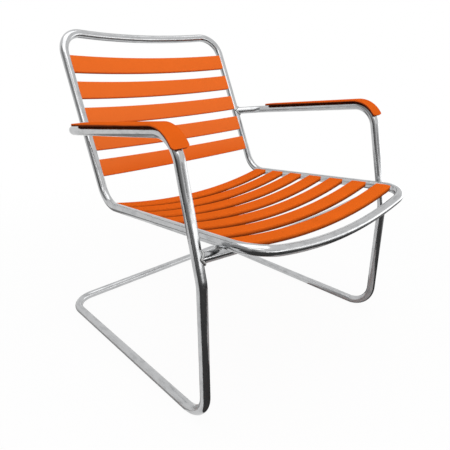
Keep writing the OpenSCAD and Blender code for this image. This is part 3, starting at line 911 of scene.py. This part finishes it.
class LOUNGE_OT_studio(bpy.types.Operator):
    """Set up the camera, the soft lights, the pale floor and the reflector cards"""

    bl_idname = "lounge.studio"
    bl_label = "Studio"

    def execute(self, context):
        self.camera(context.scene)
        self.world(context.scene)
        self.floor()
        self.lights()
        self.cards()
        context.scene.view_settings.view_transform = "Standard"
        return {"FINISHED"}

    def camera(self, scene):
        studio = settings().studio
        data = bpy.data.cameras.new("photo_camera")
        data.sensor_width = 36
        data.lens = studio.focal
        data.clip_start = 0.01
        item = bpy.data.objects.new("photo_camera", data)
        scene.collection.objects.link(item)
        turn, dip = studio.turn, studio.dip
        view = Vector((math.sin(turn) * math.cos(dip), math.cos(turn) * math.cos(dip), -math.sin(dip)))
        right = Vector((math.cos(turn), -math.sin(turn), 0))
        up = right.cross(view)
        c, s = math.cos(studio.roll), math.sin(studio.roll)
        right, up = right * c + up * s, up * c - right * s
        item.matrix_world = Matrix.Translation(studio.eye) @ Matrix((right, up, -view)).transposed().to_4x4()
        scene.camera = item

    def seen(self, tree):
        """1 for rays that show the background: from the camera, and off or through shiny surfaces."""
        path = tree.add("ShaderNodeLightPath")
        seen = path["Is Camera Ray"].math("MAXIMUM", path["Is Glossy Ray"])
        return seen.math("MAXIMUM", path["Is Transmission Ray"])

    def world(self, scene):
        studio = settings().studio
        world = bpy.data.worlds.new("studio_world")
        world.use_nodes = True
        world.node_tree.nodes.clear()
        tree = Tree(world.node_tree)
        seen = self.seen(tree)
        strength = seen + (1 - seen) * studio.ambient
        light = tree.add("ShaderNodeBackground", None, {"Color": WHITE, "Strength": strength})
        tree.add("ShaderNodeOutputWorld", None, {"Surface": light})
        scene.world = world

    def plane(self, name, corners, material):
        mesh = bpy.data.meshes.new(name)
        mesh.from_pydata(corners, [], [tuple(range(len(corners)))])
        item = bpy.data.objects.new(name, mesh)
        bpy.context.scene.collection.objects.link(item)
        item.data.materials.append(material)
        return item

    def floor(self):
        """A pale matt floor. Rays that show the background see it nearly white, with the chair's shadow."""
        pale = settings().studio.floor
        near, far, edge = 0.6, 1.8, 30.0
        white_near = 0.94
        material, tree = new_material("studio_floor")
        at = tree.add("ShaderNodeTexCoord", out="Object")
        tone = tree.blend(tree.noise(at, 60.0, 3.0) * 0.1, rgba(pale), rgba([c * 0.96 for c in pale]))
        matt = tree.add("ShaderNodeBsdfDiffuse", None, {"Color": tone})
        white = tree.add("ShaderNodeEmission", None, {"Color": WHITE, "Strength": 1.0})
        away = tree.vector("LENGTH", at).smooth(near, far)
        share_white = self.seen(tree) * (white_near + away * (1 - white_near))
        mixed = tree.add("ShaderNodeMixShader", None, {0: share_white, 1: matt, 2: white})
        tree.add("ShaderNodeOutputMaterial", None, {"Surface": mixed})
        corners = [(-edge, -edge, 0), (edge, -edge, 0), (edge, edge, 0), (-edge, edge, 0)]
        self.plane("studio_floor", corners, material)

    def lights(self):
        """Soft square lights, each with its place, what it points at, its width and its watts."""
        for name, place, aim, width, watts in (
            ("overhead_softbox", (-0.2, -0.3, 2.6), (0, 0, 0.3), 2.4, 23),
            ("front_softbox", (-1.9, -2.0, 1.5), (0, 0, 0.4), 2.2, 23),
        ):
            data = bpy.data.lights.new(name, "AREA")
            data.shape = "SQUARE"
            data.size = width
            data.energy = watts
            item = bpy.data.objects.new(name, data)
            bpy.context.scene.collection.objects.link(item)
            item.location = place
            item.rotation_euler = (Vector(aim) - Vector(place)).to_track_quat("-Z", "Y").to_euler()

    def cards(self):
        """Dark, grey and bright cards round the chair, seen in the tubes alone."""
        dark_floor = [
            (-2.5, -3.0), (1.5, -3.0), (1.5, 0.46), (0.3, -0.05), (-0.301, -0.255), (-0.55, -0.31),
            (-1.0, -0.2), (-2.5, -0.2),
        ]
        behind = [(-1.3, 0.55), (0.5, 0.55), (0.5, 1.0), (-1.3, 1.0)]
        by_runner = [(-0.335, -0.2), (-0.267, -0.2), (-0.267, 0.38), (-0.335, 0.38)]
        below_rail = [(-0.12, -0.5), (0.3, -0.5), (0.3, -0.05), (-0.12, -0.15)]
        ahead = [(0.65, -1.5), (1.3, -1.5), (1.3, -0.2), (0.65, -0.2)]
        first_layer, second_layer = 0.0004, 0.0008
        cards = [
            self.plane(name, [(x, y, layer) for x, y in corners], self.card_paint(name, level))
            for name, corners, layer, level in (
                ("floor_card", dark_floor, first_layer, 0.07),
                ("rear_card", behind, first_layer, 0.35),
                ("runner_card", by_runner, second_layer, 0.6),
                ("rail_card", below_rail, second_layer, 0.6),
                ("ahead_card", ahead, second_layer, 0.3),
            )
        ]
        # Standing cards: foot line from start to end, lower and upper edge, glow at start and at end
        for name, start, end, low, high, first, last in (
            ("camera_card", (-0.9, -2.4), (-1.9, -1.3), 0.35, 1.7, 1.0, 0.25),
            ("low_card", (-0.9, -2.4), (-1.9, -1.3), 0.0, 0.35, 0.3, 0.06),
            ("side_card", (-1.9, -1.3), (-2.2, 0.3), 0.0, 0.8, 0.3, 0.01),
            ("right_card", (1.6, -1.6), (1.6, 0.3), 0.0, 0.7, 2.4, 2.0),
            ("high_card", (-2.4, -3.0), (-2.4, 1.5), 0.8, 3.2, 0.5, 0.35),
            ("left_card", (-2.2, 0.3), (-2.3, 1.3), 0.0, 0.8, 0.01, 0.5),
            ("front_card", (-1.4, -3.2), (1.2, -3.2), 0.05, 0.7, 2.2, 2.4),
            ("upper_card", (-1.6, -3.2), (1.4, -3.2), 0.7, 1.2, 0.2, 0.5),
            ("corner_card", (1.2, -3.2), (3.4, -3.2), 0.05, 0.7, 2.4, 2.6),
        ):
            corners = [(*start, low), (*end, low), (*end, high), (*start, high)]
            cards.append(self.plane(name, corners, self.card_glow(name, start, end, first, last)))
        for card in cards:
            card.visible_camera = False
            card.visible_diffuse = False
            card.visible_shadow = False

    def card_paint(self, name, level):
        """Matt grey of a card on the floor."""
        material, tree = new_material(name)
        matt = tree.add("ShaderNodeBsdfDiffuse", None, {"Color": (level, level, level, 1)})
        tree.add("ShaderNodeOutputMaterial", None, {"Surface": matt})
        return material

    def card_glow(self, name, start, end, first, last):
        """Glow of a standing card, changing from its start to its end."""
        material, tree = new_material(name)
        way = Vector(end) - Vector(start)
        step = way / way.length_squared
        at = tree.add("ShaderNodeTexCoord", out="Object")
        along = tree.vector("DOT_PRODUCT", at, (step.x, step.y, 0)) - step.dot(Vector(start))
        strength = first + along.smooth(0.0, 1.0) * (last - first)
        glow = tree.add("ShaderNodeEmission", None, {"Color": WHITE, "Strength": strength})
        tree.add("ShaderNodeOutputMaterial", None, {"Surface": glow})
        return material


class LoungeChair(bpy.types.PropertyGroup):
    """All sizes and colours of the chair and its studio"""

    tubes: PointerProperty(type=TubeSizes)
    slats: PointerProperty(type=SlatSizes)
    welds: PointerProperty(type=WeldSizes)
    finish: PointerProperty(type=Finish)
    studio: PointerProperty(type=Studio)


class LOUNGE_PT_panel(bpy.types.Panel):
    """Lists the chair's pieces and its studio"""

    bl_idname = "LOUNGE_PT_panel"
    bl_label = "Lounge Chair"
    bl_space_type = "VIEW_3D"
    bl_region_type = "UI"
    bl_category = "Lounge Chair"

    def draw(self, context):
        for operator in STEPS:
            self.layout.operator(operator.bl_idname)
        groups = context.scene.lounge_chair
        for name in LoungeChair.__annotations__:
            box = self.layout.box()
            box.label(text=name.capitalize())
            group = getattr(groups, name)
            for field in group.__annotations__:
                box.prop(group, field)


STEPS = (LOUNGE_OT_frame_tubes, LOUNGE_OT_slats, LOUNGE_OT_armrests, LOUNGE_OT_welds, LOUNGE_OT_studio)
CLASSES = (TubeSizes, SlatSizes, WeldSizes, Finish, Studio, LoungeChair, *STEPS, LOUNGE_PT_panel)


def register():
    for cls in CLASSES:
        bpy.utils.register_class(cls)
    bpy.types.Scene.lounge_chair = PointerProperty(type=LoungeChair)


def unregister():
    del bpy.types.Scene.lounge_chair
    for cls in reversed(CLASSES):
        bpy.utils.unregister_class(cls)


def main():
    register()
    for operator in STEPS:
        group, name = operator.bl_idname.split(".")
        getattr(getattr(bpy.ops, group), name)()


if __name__ == "__main__":
    main()
